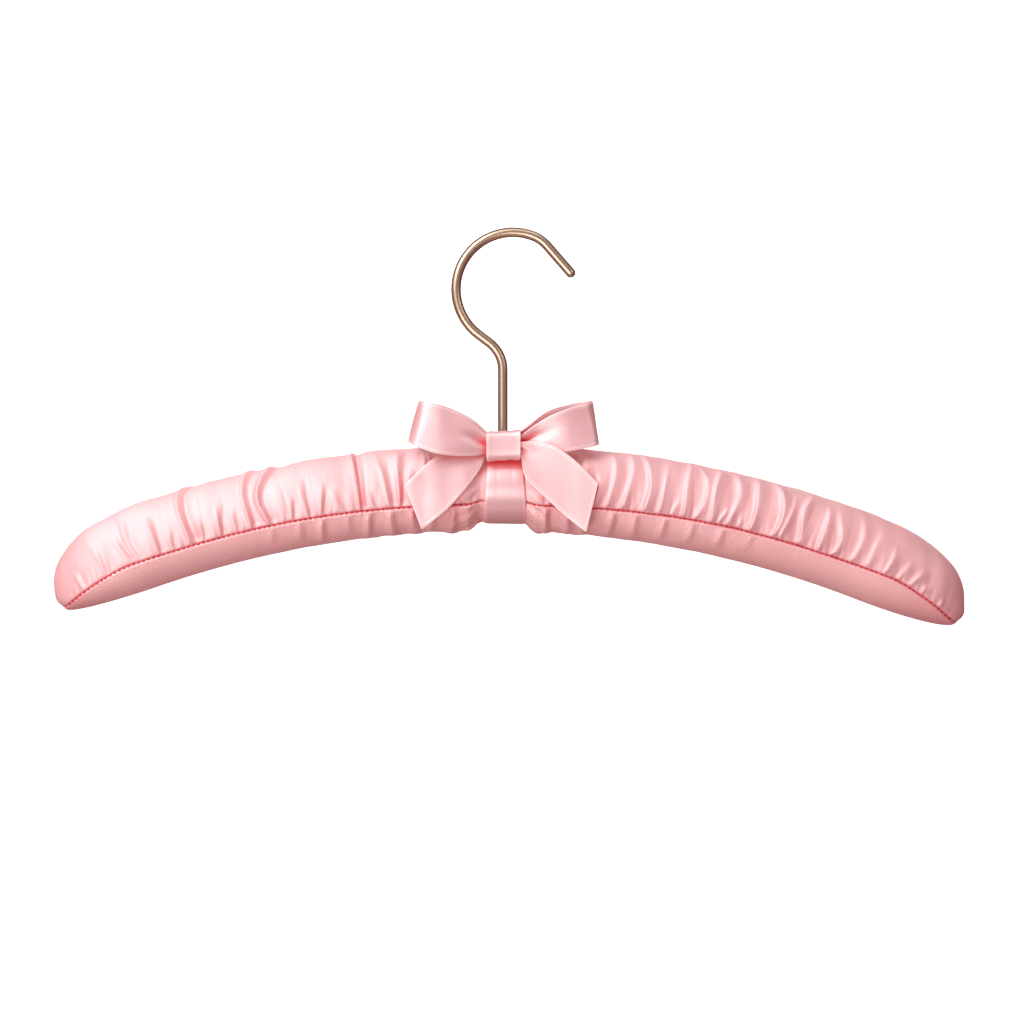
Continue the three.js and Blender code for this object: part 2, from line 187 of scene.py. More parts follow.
def run_length(grid, axis):
    """Distance along a grid's rows or columns, from 0 at the first point."""
    steps = np.linalg.norm(np.diff(grid, axis=axis), axis=-1)
    total = np.cumsum(steps, axis=axis)
    start = np.zeros_like(np.take(total, [0], axis=axis))
    return np.concatenate([start, total], axis=axis)


# ---- Mesh helpers ----
def mesh_object(name, vertices, faces, uv=None):
    mesh = bpy.data.meshes.new(name)
    mesh.from_pydata((np.asarray(vertices) * MM).tolist(), [], faces)
    if uv is not None:
        layer = mesh.uv_layers.new(name="cloth")
        corners = np.zeros(len(mesh.loops), int)
        mesh.loops.foreach_get("vertex_index", corners)
        layer.data.foreach_set("uv", np.asarray(uv, np.float32)[corners].ravel())
    piece = bpy.data.objects.new(name, mesh)
    bpy.context.scene.collection.objects.link(piece)
    mesh.polygons.foreach_set("use_smooth", [True] * len(mesh.polygons))
    return piece


def grid_faces(rows, columns, close_rows=False, close_columns=False, first=0):
    row_count = rows if close_rows else rows - 1
    column_count = columns if close_columns else columns - 1
    i, j = np.meshgrid(np.arange(row_count), np.arange(column_count), indexing="ij")
    i, j = i.ravel(), j.ravel()
    i2, j2 = (i + 1) % rows, (j + 1) % columns
    corners = [i * columns + j, i2 * columns + j, i2 * columns + j2, i * columns + j2]
    return (np.stack(corners, axis=1) + first).tolist()


def clean(piece):
    """Welds points that lie together and turns a closed piece's faces outwards."""
    work = bmesh.new()
    work.from_mesh(piece.data)
    bmesh.ops.remove_doubles(work, verts=work.verts, dist=2e-6)
    bmesh.ops.dissolve_degenerate(work, dist=1e-6, edges=work.edges)
    bmesh.ops.recalc_face_normals(work, faces=work.faces)
    work.to_mesh(piece.data)
    work.free()
    return piece


def thicken(piece, thickness, offset=-1.0):
    modifier = piece.modifiers.new("thickness", "SOLIDIFY")
    modifier.thickness = thickness * MM
    modifier.offset = offset
    modifier.use_even_offset = False
    return piece


def place(piece, body, material, slot, *nodes):
    piece.data.materials.append(material)
    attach(piece, body)
    if nodes:
        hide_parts(*nodes)
    return piece


# ---- Material helpers ----
class Nodes:
    """Short calls for one material's node tree."""

    def __init__(self, name):
        self.material = bpy.data.materials.new(name)
        self.material.use_nodes = True
        self.tree = self.material.node_tree
        self.shader = self.tree.nodes["Principled BSDF"]

    def add(self, kind, settings=None, **inputs):
        node = self.tree.nodes.new("ShaderNode" + kind)
        for key, value in (settings or {}).items():
            setattr(node, key, value)
        for key, value in inputs.items():
            self.feed(node.inputs[key.replace("_", " ")], value)
        return node

    def feed(self, socket, value):
        if isinstance(value, bpy.types.NodeSocket):
            self.tree.links.new(value, socket)
        else:
            socket.default_value = value

    def math(self, operation, *values):
        node = self.tree.nodes.new("ShaderNodeMath")
        node.operation = operation
        for socket, value in zip(node.inputs, values):
            self.feed(socket, value)
        return node.outputs[0]

    def blend(self, factor, first, second):
        node = self.tree.nodes.new("ShaderNodeMix")
        node.data_type = "RGBA"
        self.feed(node.inputs["Factor"], factor)
        self.feed(node.inputs[6], first)
        self.feed(node.inputs[7], second)
        return node.outputs[2]

    def set(self, **inputs):
        for key, value in inputs.items():
            self.feed(self.shader.inputs[key.replace("_", " ")], value)

    def bump(self, height, strength, distance_mm, normal=None):
        node = self.add("Bump", Strength=strength, Distance=distance_mm * MM, Height=height)
        if normal is not None:
            self.feed(node.inputs["Normal"], normal)
        return node.outputs["Normal"]


def weave_height(nodes, uv, pitch):
    """Slanting ribs of a weave, a little uneven, from cloth coordinates in millimetres."""
    drift = nodes.add("TexNoise", Vector=uv, Scale=0.9 / pitch, Detail=1.0)
    split = nodes.add("SeparateXYZ", Vector=uv)
    slant = nodes.math("ADD", split.outputs["X"], nodes.math("MULTIPLY", split.outputs["Y"], 0.7))
    slant = nodes.math("ADD", slant, nodes.math("MULTIPLY", drift.outputs["Fac"], 1.6 * pitch))
    return nodes.math("SINE", nodes.math("MULTIPLY", slant, 2 * math.pi / pitch))


def satin(name, colour, deep, weave, rib, roughness, selvedge=False):
    """Woven satin: long floating threads give one broad highlight across them, and between folds the
    colour is painted a deep red as painted shade. With a selvedge, the cloth's edges carry a rim and a
    dotted line."""
    nodes = Nodes(name)
    uv = nodes.add("UVMap", {"uv_map": "cloth"}).outputs["UV"]
    place_in_space = nodes.add("TexCoord").outputs["Object"]
    broad = nodes.add("TexNoise", Vector=place_in_space, Scale=28.0, Detail=3.0, Roughness=0.55)
    fine = nodes.add("TexNoise", Vector=uv, Scale=1.6, Detail=2.0, Roughness=0.65)
    ribs = weave_height(nodes, uv, weave)
    tone = nodes.math("MULTIPLY_ADD", broad.outputs["Fac"], 0.9, -0.1)
    tinted = nodes.blend(tone, deep, colour)
    # The speckle of single threads, and the slanting ribs of the weave.
    speckle = nodes.math("MULTIPLY_ADD", fine.outputs["Fac"], 0.5, 0.75)
    value = nodes.math("MULTIPLY", speckle, nodes.math("MULTIPLY_ADD", ribs, 0.1 * rib, 1.0))
    tinted = nodes.add("HueSaturation", Color=tinted, Value=value).outputs["Color"]
    normal = nodes.bump(ribs, rib, 0.07)
    normal = nodes.bump(fine.outputs["Fac"], 0.25, 0.22, normal)
    if selvedge:
        split = nodes.add("SeparateXYZ", Vector=uv)
        across = split.outputs["Y"]
        from_side = nodes.math("MINIMUM", across, nodes.math("SUBTRACT", RIBBON_WIDTH, across))
        from_edge = nodes.math("MINIMUM", from_side, split.outputs["X"])
        along = nodes.math("ADD", split.outputs["X"], across)
        dots = nodes.math("SINE", nodes.math("MULTIPLY", along, 2 * math.pi / DOT_PITCH))
        dotted = nodes.math("GREATER_THAN", dots, -0.35)
        line = nodes.math("MULTIPLY", nodes.math("COMPARE", from_edge, *DOTTED_LINE), dotted)
        rim = nodes.math("MULTIPLY", nodes.math("LESS_THAN", from_edge, RIM_WIDTH), 0.75)
        pale = nodes.math("MAXIMUM", nodes.math("MULTIPLY", line, 0.7), rim)
        tinted = nodes.blend(pale, tinted, PALE_THREAD)
        # A groove runs inside each edge: a bump dents it, and its colour is painted deeper as painted
        # shade in the groove.
        shaded_furrow = nodes.math("COMPARE", from_edge, *FURROW)
        tinted = nodes.blend(nodes.math("MULTIPLY", shaded_furrow, 0.5), tinted, deep)
        normal = nodes.bump(shaded_furrow, -0.8, 0.2, normal)
    # Deep in a fold or under another layer the colour is painted deep red: painted shade, for light
    #     that bounces from pink to pink.
    gap = nodes.add("AmbientOcclusion", {"samples": 8}, Distance=9.0 * MM)
    depth = nodes.math("SUBTRACT", 1.0, gap.outputs["AO"])
    depth = nodes.math("MINIMUM", 1.0, nodes.math("MULTIPLY", depth, 1.3))
    tinted = nodes.blend(depth, tinted, FOLD_SHADE_RED)
    tangent = nodes.add("Tangent", {"direction_type": "UV_MAP", "uv_map": "cloth"})
    nodes.set(
        Base_Color=tinted,
        Metallic=0.0,
        Roughness=roughness,
        IOR=2.0,
        Specular_IOR_Level=1.0,
        Anisotropic=0.7,
        Anisotropic_Rotation=0.25,
        Tangent=tangent.outputs["Tangent"],
        Sheen_Weight=0.05,
        Sheen_Roughness=0.35,
        Normal=normal,
    )
    nodes.feed(nodes.shader.inputs["Sheen Tint"], PALE_THREAD)
    return nodes.material


def plated_wire():
    nodes = Nodes("champagne_plate")
    where = nodes.add("TexCoord").outputs["Object"]
    grain = nodes.add("TexNoise", Vector=where, Scale=2600.0, Detail=2.0, Roughness=0.6)
    cloud = nodes.add("TexNoise", Vector=where, Scale=90.0, Detail=3.0, Roughness=0.5)
    tint = nodes.blend(cloud.outputs["Fac"], (0.43, 0.35, 0.25, 1), (0.51, 0.42, 0.31, 1))
    rough = nodes.math("MULTIPLY_ADD", grain.outputs["Fac"], 0.12, 0.25)
    normal = nodes.bump(grain.outputs["Fac"], 0.1, 0.03)
    nodes.set(Base_Color=tint, Metallic=1.0, Roughness=rough, Normal=normal)
    # Lacquered brass darkens where light grazes it.
    nodes.feed(nodes.shader.inputs["Specular Tint"], (0.08, 0.05, 0.03, 1))
    return nodes.material


def washer_steel():
    nodes = Nodes("washer_steel")
    where = nodes.add("TexCoord").outputs["Object"]
    brushed = nodes.add("TexNoise", Vector=where, Scale=900.0, Detail=3.0)
    rough = nodes.math("MULTIPLY_ADD", brushed.outputs["Fac"], 0.25, 0.25)
    nodes.set(Base_Color=(0.55, 0.55, 0.53, 1), Metallic=1.0, Roughness=rough)
    return nodes.material


def beech():
    nodes = Nodes("beech")
    where = nodes.add("TexCoord").outputs["Object"]
    stretched = nodes.add("Mapping", Vector=where, Scale=(0.12, 1.0, 1.0)).outputs["Vector"]
    rings = nodes.add("TexWave", Vector=stretched, Scale=190.0, Distortion=5.0, Detail=3.0)
    fleck = nodes.add("TexNoise", Vector=stretched, Scale=1500.0, Detail=2.0)
    tone = nodes.math("MULTIPLY_ADD", fleck.outputs["Fac"], 0.35, rings.outputs["Fac"])
    colour = nodes.blend(tone, (0.62, 0.42, 0.24, 1), (0.42, 0.26, 0.13, 1))
    normal = nodes.bump(tone, 0.2, 0.1)
    nodes.set(Base_Color=colour, Roughness=0.62, Normal=normal)
    return nodes.material


def batting():
    nodes = Nodes("batting")
    where = nodes.add("TexCoord").outputs["Object"]
    fibres = nodes.add("TexNoise", Vector=where, Scale=700.0, Detail=5.0, Roughness=0.7)
    tufts = nodes.add("TexNoise", Vector=where, Scale=120.0, Detail=3.0)
    colour = nodes.blend(tufts.outputs["Fac"], (0.8, 0.78, 0.73, 1), (0.95, 0.94, 0.9, 1))
    normal = nodes.bump(fibres.outputs["Fac"], 0.7, 0.6)
    nodes.set(Base_Color=colour, Roughness=0.95, Sheen_Weight=0.4, Normal=normal)
    return nodes.material


def thread():
    nodes = Nodes("seam_thread")
    uv = nodes.add("UVMap", {"uv_map": "cloth"}).outputs["UV"]
    twist = weave_height(nodes, uv, 0.5)
    noise = nodes.add("TexNoise", Vector=nodes.add("TexCoord").outputs["Object"], Scale=400.0)
    colour = nodes.blend(noise.outputs["Fac"], (0.42, 0.015, 0.03, 1), (0.6, 0.04, 0.06, 1))
    normal = nodes.bump(twist, 0.4, 0.06)
    nodes.set(Base_Color=colour, Roughness=0.55, Sheen_Weight=0.3, Normal=normal)
    return nodes.material


def studio_white(name, strength):
    nodes = Nodes(name)
    paper = nodes.add("TexNoise", Vector=nodes.add("TexCoord").outputs["Object"], Scale=3.0)
    colour = nodes.blend(paper.outputs["Fac"], (0.9, 0.9, 0.9, 1), (0.92, 0.92, 0.92, 1))
    nodes.set(Base_Color=colour, Roughness=0.9, Emission_Color=(1, 1, 1, 1), Emission_Strength=strength)
    return nodes.material


# ---- Camera, stage and lights ----
def camera():
    data = bpy.data.cameras.new("camera")
    data.lens = 120
    data.sensor_width = 36
    view = bpy.data.objects.new("camera", data)
    frame_width = 0.4496
    distance = data.lens / data.sensor_width * frame_width
    view.location = (-0.00044, -distance, -0.1207)
    view.rotation_euler = (math.pi / 2, 0, 0)
    bpy.context.scene.collection.objects.link(view)
    bpy.context.scene.camera = view


def cyclorama():
    """A white floor under the hanger that curves up into a round wall, so every side is plain."""
    floor_z, wall, radius = -480, 4000, 1000
    sweep = [(0, floor_z)]
    for turn in np.linspace(0, math.pi / 2, 24):
        reach = wall - radius + radius * math.sin(turn)
        sweep.append((reach, floor_z + radius - radius * math.cos(turn)))
    sweep.append((wall, 9000))
    angle = np.linspace(0, 2 * math.pi, 64, endpoint=False)
    grid = np.array([[(r * math.cos(a), r * math.sin(a), z) for a in angle] for r, z in sweep])
    faces = grid_faces(len(sweep), len(angle), close_columns=True)
    stage = clean(mesh_object("cyclorama", grid.reshape(-1, 3), faces))
    stage.data.materials.append(studio_white("studio_white", 1.0))
    # The sweep is lit evenly and stays out of the light on the hanger.
    stage.visible_diffuse = False
    stage.visible_glossy = False
    stage.visible_shadow = False


def softbox(name, location, target, size, power, colour=(1, 1, 1), shines=True):
    data = bpy.data.lights.new(name, "AREA")
    data.shape = "RECTANGLE"
    data.size, data.size_y = size
    data.energy = power
    data.color = colour
    light = bpy.data.objects.new(name, data)
    light.location = location
    direction = np.array(target, float) - np.array(location, float)
    yaw = math.atan2(direction[0], -direction[1])
    pitch = math.atan2(-direction[2], math.hypot(direction[0], direction[1]))
    light.rotation_euler = (math.pi / 2 - pitch, 0, yaw + math.pi)
    # A fill that doesn't shine adds no glint of its own.
    light.visible_glossy = shines
    bpy.context.scene.collection.objects.link(light)


def studio():
    world = bpy.data.worlds.new("studio")
    bpy.context.scene.world = world
    world.use_nodes = True
    tree = world.node_tree
    background = tree.nodes["Background"]
    # The room is light in front on the left. Behind on the right it is dark and rosy, as where
    # light comes off the pink cloth itself.
    direction = tree.nodes.new("ShaderNodeTexCoord")
    facing = tree.nodes.new("ShaderNodeVectorMath")
    facing.operation = "DOT_PRODUCT"
    facing.inputs[1].default_value = (-0.5, -0.8, 0.3)
    level = tree.nodes.new("ShaderNodeMapRange")
    level.inputs["From Min"].default_value = -1
    tint = tree.nodes.new("ShaderNodeMix")
    tint.data_type = "RGBA"
    tint.inputs[6].default_value = ROSY_DARK
    tint.inputs[7].default_value = ROSY_LIGHT
    tree.links.new(direction.outputs["Generated"], facing.inputs[0])
    tree.links.new(facing.outputs["Value"], level.inputs["Value"])
    tree.links.new(level.outputs["Result"], tint.inputs["Factor"])
    tree.links.new(tint.outputs[2], background.inputs["Color"])
    middle = (0, 0, -0.11)
    softbox("key", (-0.78, -0.74, 0.58), middle, (0.75, 0.75), 10.5)
    softbox("high", (-0.5, -0.6, 0.95), middle, (0.6, 0.6), 4.5)
    softbox("overhead", (0.25, -0.5, 1.25), middle, (1.2, 0.8), 5, (1, 0.96, 0.96))
    softbox("near", (-0.4, -0.6, 0.15), middle, (0.35, 0.35), 0.5)
    softbox("low", (-0.45, -1.2, -0.5), middle, (1.0, 0.6), 9.5, (1, 0.91, 0.9))
    softbox("floor", (0, -0.5, -1.3), middle, (1.2, 0.6), 1.5, (1, 0.66, 0.64))
    softbox("back_fill", (0.6, 1.2, 0.5), middle, (1.2, 1.2), 14, (1, 0.97, 0.96), shines=False)
    softbox("back", (0.1, 1.5, 0.0), middle, (1.2, 0.8), 6, (1, 0.97, 0.96))
    softbox("right", (1.1, -0.9, 0.45), middle, (0.5, 0.5), 2.5, (1, 0.88, 0.87))
    bpy.context.scene.view_settings.view_transform = "Standard"


# ---- Hook ----
def hook_centreline():
    """The wire's centreline in the XZ plane: stem, bend, straight, crown, tighter lip and end."""
    crown_z = WIRE_R - CROWN_R
    bend_x = STEM_X - BEND_R
    across, up = -bend_x, crown_z - BEND_Z
    turn = math.atan2(up, across) - math.acos((CROWN_R + BEND_R) / math.hypot(across, up))
    inset = CROWN_R - LIP_R
    lip_x = inset * math.cos(LIP_START)
    lip_z = crown_z + inset * math.sin(LIP_START)

    def arc(x, z, radius, start, end, count):
        angle = np.linspace(start, end, count)
        return np.stack([x + radius * np.cos(angle), z + radius * np.sin(angle)], axis=1)

    head_z = CORE_TOP - 2 * CORE_HALF_HEIGHT - 3 * GAP - WASHER_T
    stem = np.stack([np.full(40, STEM_X), np.linspace(head_z - 1, BEND_Z, 40)], axis=1)
    bend = arc(bend_x, BEND_Z, BEND_R, 0, turn, 24)
    crown = arc(0, crown_z, CROWN_R, turn + math.pi, LIP_START, 110)
    lip = arc(lip_x, lip_z, LIP_R, LIP_START, LIP_END, 14)
    run = np.linspace(0, LIP_LENGTH, 16)[:, None]
    end = lip[-1] + run * np.array([[math.sin(LIP_END), -math.cos(LIP_END)]])
    flat = np.vstack([stem, bend[1:], mix(bend[-1], crown[0], 0.5)[None], crown, lip[1:], end[1:]])
    return np.stack([flat[:, 0], np.zeros(len(flat)), flat[:, 1]], axis=1), head_z


def tube(path, radii, sides=28):
    """Rings square to a path that lies in the XZ plane."""
    along = unit(np.gradient(path, axis=0))
    aside = np.stack([-along[:, 2], np.zeros(len(path)), along[:, 0]], axis=1)
    angle = np.linspace(0, 2 * math.pi, sides, endpoint=False)
    ring = aside[:, None] * np.cos(angle)[None, :, None]
    ring = ring + np.array([0, 1, 0]) * np.sin(angle)[None, :, None]
    return path[:, None] + ring * np.asarray(radii)[:, None, None]


def capped(grid):
    """A tube's rings, with a ring drawn in to a point at each end."""
    ends = [grid[0].mean(axis=0), grid[-1].mean(axis=0)]
    full = np.concatenate([np.broadcast_to(ends[0], grid[:1].shape), grid])
    return np.concatenate([full, np.broadcast_to(ends[1], grid[:1].shape)])


def turned(profile, z, sides=48):
    angle = np.linspace(0, 2 * math.pi, sides, endpoint=False)
    rings = [
        np.stack([STEM_X + r * np.cos(angle), r * np.sin(angle), np.full(sides, z + h)], axis=1)
        for r, h in profile
    ]
    return np.array(rings)


def hook():
    path, head_z = hook_centreline()
    reach = WIRE_R * np.sin(np.linspace(0, math.pi / 2, 8))[1:]
    forward = unit(path[-1] - path[-2])
    path = np.vstack([path, path[-1] + reach[:, None] * forward])
    radii = np.full(len(path), WIRE_R)
    radii[-len(reach):] = np.sqrt(np.maximum(WIRE_R**2 - reach**2, 1e-4))
    wire = capped(tube(path, radii))
    head = turned(HEAD_PROFILE, head_z)
    shoulder = turned(SHOULDER_PROFILE, CORE_TOP + WASHER_T + 2 * GAP)
    points, faces = [], []
    for grid in (wire, head, shoulder):
        faces += grid_faces(grid.shape[0], grid.shape[1], close_columns=True, first=len(points))
        points += grid.reshape(-1, 3).tolist()
    piece = clean(mesh_object("hook_wire", points, faces))
    place(piece, "hook", plated_wire(), "hook_wire", "hook")


# ---- Padded bar ----
def rounding(distance, shape, inset):
    length, power = shape
    left = 1 - np.clip(distance / (length - inset), 0, 1)
    return (1 - left**power) ** (1 / power)


def bar_points(side, s, angle, inset=0.0):
    """Points on the bar at arc length s from the stem. The angle is 0 at the front and a quarter
    turn at the top, and a positive inset goes into the bar."""
    s, angle = np.broadcast_arrays(np.asarray(s, float), np.asarray(angle, float))
    from_tip = np.maximum(0, REACH[side] - s - inset)
    drop = NOSE_DROP[side]
    rise = (TOP_HEIGHT - inset + drop) * rounding(from_tip, NOSE_TOP, inset)
    fall = (BOTTOM_HEIGHT - inset - drop) * rounding(from_tip, NOSE_BOTTOM, inset)
    swell = (HALF_DEPTH - inset) * rounding(from_tip, NOSE_SIDE, inset)
    pinch = 1 - smoothstep(s, PINCH_FLAT, PINCH_END)
    top = mix(rise - drop, PINCH_TOP - inset, pinch)
    bottom = -mix(fall + drop, PINCH_BOTTOM - inset, pinch)
    depth = mix(swell, PINCH_DEPTH - inset, pinch)
    middle = -drop * np.maximum(0, 1 - from_tip / NOSE_TOP[0]) ** 1.5
    lift = np.sin(angle)
    radius = ARC_R + middle + np.where(lift > 0, top - middle, middle - bottom) * lift
    drawn_in, let_out = NOSE_CORNER[side]
    above = radius - ARC_R + drop
    corner = let_out * np.exp(-(((above - LET_OUT_AT) / CORNER_REACH) ** 2))
    corner = corner - drawn_in * np.exp(-((above / DRAWN_IN_REACH) ** 2))
    turn = STEM_ANGLE + SIDES[side] * (s + corner * np.exp(-from_tip / CORNER_REACH)) / ARC_R
    return np.stack(
        [ARC_X + radius * np.sin(turn), -depth * np.cos(angle), ARC_Z + radius * np.cos(turn)],
        axis=-1,
    )


def seam_angle(side, s):
    """How far the seam lies below the widest line. It rises a little before the tip."""
    angle = mix(SEAM_ANGLE_MIDDLE, SEAM_ANGLE[side], smoothstep(s, 0, SEAM_SETTLES))
    from_tip = REACH[side] - s
    rise = smoothstep(from_tip, 58, 26) * smoothstep(from_tip, 0, 14)
    return angle - math.radians(9) * rise


def stations(side, start, free, nose):
    """Arc lengths from a start to the tip, drawn closer together round the nose."""
    nose_start = REACH[side] - NOSE_TOP[0]
    plain = np.linspace(start, nose_start, free, endpoint=False)
    bend = np.sin(np.linspace(0, math.pi / 2, nose))
    return np.concatenate([plain, mix(nose_start, REACH[side], bend)])


# How each panel's folds are shaped, in fold widths: the crest's share of the height and its width,
# how far before the crease it stands and how long it takes to fall, the crease's share, how far
# the fold curves outwards half way up (mm), and how much sooner than listed it ends.
STYLE_KEYS = ("crest", "wide", "ahead", "tail", "crease", "curve", "early")
FOLD_STYLE = {
    "left": dict(zip(STYLE_KEYS, (0.42, 0.65, 1.7, 1.0, 0.64, 0.0, 1.0))),
    "right": dict(zip(STYLE_KEYS, (1.0, 0.85, 0.5, 2.3, 0.1, 2.2, 1.15))),
    "under": dict(zip(STYLE_KEYS, (0.6, 1.0, 1.3, 1.4, 0.4, 0.0, 0.8))),
}

# Folds of the gathered panel, from the middle of the hanger outwards: arc length at the seam, half
# way up and at the top of the bar, then the fold's height up the panel, its depth and its width.
FRONT_FOLDS = {
    "left": [
        (20, 19, 17, 26, 0.8, 1.8),
        (26, 27, 27, 40, 1.1, 2.0),
        (33, 31, 31, 36, 1.0, 1.9),
        (39, 36, 34, 19, 0.9, 1.8),
        (44, 42, 40, 30, 1.2, 1.8),
        (48, 49, 52, 27, 1.2, 1.9),
        (56, 56, 56, 9, 0.6, 1.2),
        (61, 62, 61.5, 48, 1.7, 1.3),
        (70, 70, 72, 12, 0.45, 1.6),
        (78, 76, 75, 15, 0.75, 1.3),
        (85, 83, 82, 19, 0.8, 1.5),
        (91, 91, 91, 11, 0.65, 1.2),
        (102, 101.5, 95, 46, 1.4, 2.3),
        (110, 108.6, 105, 44, 1.3, 2.0),
        (117, 116, 116, 12, 0.55, 1.3),
        (123, 121, 120, 15, 0.95, 1.5),
        (130.6, 130, 130, 11, 0.65, 1.3),
        (137, 137, 132, 46, 1.4, 2.2),
        (144.5, 145, 146, 10, 0.45, 1.3),
        (152, 152, 151, 20, 0.9, 1.7),
        (160, 163, 165.5, 27, 0.65, 1.9),
        (165, 168, 170, 16, 0.8, 1.5),
        (177, 179, 181, 17, 0.7, 1.7),
        (188, 189, 190, 10, 0.45, 1.5),
    ],
    "right": [
        (20, 20, 22, 28, 0.8, 1.8),
        (27, 26, 26, 36, 1.0, 2.0),
        (34, 35, 36, 36, 0.9, 2.0),
        (40, 40, 41, 20, 0.9, 1.7),
        (46.5, 46.5, 47, 36, 1.0, 1.8),
        (52.5, 54, 55, 38, 1.2, 1.9),
        (63, 62, 61, 40, 1.3, 2.0),
        (69, 69, 70, 34, 1.0, 1.8),
        (75, 75, 75, 11, 0.6, 1.3),
        (79, 79, 80, 38, 1.2, 1.8),
        (85.5, 85.5, 85, 34, 1.0, 1.8),
        (91.5, 91.5, 92, 38, 1.3, 1.8),
        (96.5, 96.5, 96, 10, 0.6, 1.2),
        (100.5, 100, 100, 34, 1.1, 1.8),
        (104, 104, 104, 9, 0.5, 1.2),
        (109, 109, 110, 36, 1.2, 1.9),
        (119, 120, 117, 34, 1.3, 1.8),
        (124, 124, 124, 28, 0.9, 1.6),
        (130.5, 130.5, 131, 34, 1.1, 1.8),
        (141, 140, 139, 28, 1.1, 1.8),
        (147, 146.5, 146, 26, 0.9, 1.7),
        (157, 156, 155, 28, 0.9, 1.8),
        (163, 164.5, 165, 22, 0.8, 1.7),
        (171, 171.5, 172, 17, 0.7, 1.6),
        (179, 180.5, 182, 14, 0.65, 1.5),
        (183.5, 186, 187, 14, 0.6, 1.5),
        (191, 191, 191, 7, 0.4, 1.2),
        (200, 200, 200, 6, 0.3, 1.2),
    ],
}


def scattered_folds(side, seed):
    """The back's folds, spaced and sized like the front's."""
    random = np.random.default_rng(seed)
    folds = []
    s = 19.0
    while s < REACH[side] - 16:
        fade = 1 - 0.6 * max(0, (s - 120) / 90)
        tall = random.random() < 0.6
        height = random.uniform(26, 44) if tall else random.uniform(9, 18)
        depth = random.uniform(0.9, 1.4) if tall else random.uniform(0.45, 0.9)
        width = random.uniform(1.6, 2.2) if tall else random.uniform(1.2, 1.6)
        lean = random.uniform(-4, 4)
        path = (s, s + lean * random.uniform(0.1, 0.6), s + lean)
        folds.append((*path, height * fade, depth * fade, width))
        s += random.uniform(5, 10)
    return folds


def fold_field(folds, style, s, w, direction, seed, soft=1.0):
    """Height of gathered folds that start at a seam, where w is the distance up from it. Each one
    is a crest that drops towards +X into a crease, then rises gently. The left arm's folds are
    mostly creases, the right arm's mostly ridges."""
    random = np.random.default_rng(seed)
    height = np.zeros_like(s)
    shape = FOLD_STYLE[style]
    w = w * shape["early"]
    up = w / TOP_OF_PANEL
    curve = shape["curve"] * 4 * up * (1 - np.minimum(up, 1))
    for low, middle, high, tall, depth, width in folds:
        sway = random.uniform(-1.5, 1.5)
        centre = low + (4 * middle - 3 * low - high) * up + 2 * (low + high - 2 * middle) * up**2
        centre = centre + curve + sway * np.sin(w / random.uniform(4.5, 8) + random.uniform(0, 6))
        far = np.clip(w / tall, 0, 2)
        spread = soft * width * mix(0.6, 1.15, np.minimum(far, 1))
        x = direction * (s - centre) / spread
        sharp = random.uniform(0.7, 1.0)
        crease = np.exp(-np.abs(np.where(x < 0, x / sharp, x / random.uniform(1.5, 2.4))) ** 1.7)
        crest_x = (x + shape["ahead"]) / shape["wide"]
        crest_x = np.where(crest_x > 0, crest_x / shape["tail"], crest_x)
        crest = random.uniform(0.8, 1.25) * np.exp(-np.abs(crest_x) ** 1.8)
        strength = FOLD_DEPTH * depth * smoothstep(w, 0, 3) * (1 - smoothstep(far, 0.5, 1.1))
        height += strength * (shape["crest"] * crest - shape["crease"] * crease)
    return height


def puffs(s, w, seed):
    """Slow swells of the wadding under the cloth."""
    random = np.random.default_rng(seed)
    height = np.zeros_like(s)
    for wave in (26.0, 15.0, 9.0):
        for _ in range(3):
            turn = random.uniform(-0.5, 0.5)
            phase = random.uniform(0, 2 * math.pi)
            height += wave / 20 * np.sin(2 * math.pi * (s + turn * w) / wave + phase)
    return 0.06 * height


def fine_pleats(s, w, seed, reach=7):
    """The small pleats that a gathering thread draws up along a seam."""
    random = np.random.default_rng(seed)
    height = np.zeros_like(s)
    at = 10.0
    while at < 208:
        width = random.uniform(0.7, 1.1)
        tall = random.uniform(0.5, 1.0) * reach
        x = (s - at - random.uniform(-0.15, 0.15) * w) / width
        height -= random.uniform(0.12, 0.34) * np.exp(-x * x) * np.exp(-((w / tall) ** 2))
        at += random.uniform(2.2, 4.0)
    return height * smoothstep(w, 0, 1.2)


def seam_groove(w):
    return -SEAM_DEPTH * np.exp(-((w / SEAM_WIDTH) ** 1.4))


def band_puckers(s, angle, seed):
    """Creases that spread from the edges of the ribbon round the middle."""
    random = np.random.default_rng(seed)
    height = np.zeros_like(s)
    for k in (9, 14, 21):
        phase = random.uniform(0, 2 * math.pi)
        height += np.cos(k * angle + phase + 0.03 * k * s) / math.sqrt(k / 9)
    return 0.42 * height * smoothstep(s, PINCH_FLAT, PINCH_FLAT + 4) * np.exp(-(s - 9) / 9)


def top_height(side, s, angle, front_w, back_w):
    direction = SIDES[side]
    back_folds = scattered_folds(side, 5 + direction)
    height = fold_field(FRONT_FOLDS[side], side, s, front_w, direction, 11)
    height += fold_field(back_folds, side, s, back_w, direction, 12)
    height += fine_pleats(s, front_w, 21 + direction)
    height += fine_pleats(s, back_w, 25 + direction)
    tall_pleats = 0.4 * fine_pleats(s + 1.3, front_w, 27 + direction, reach=26)
    height += tall_pleats * (1 - 0.8 * smoothstep(s, 130, 175))
    height += puffs(s, front_w, 33 + direction)
    height += band_puckers(s, angle, 31 + direction)
    # Under the ribbon the folds are pressed flat.
    return height * smoothstep(s, PINCH_FLAT - 1, PINCH_FLAT + 5)


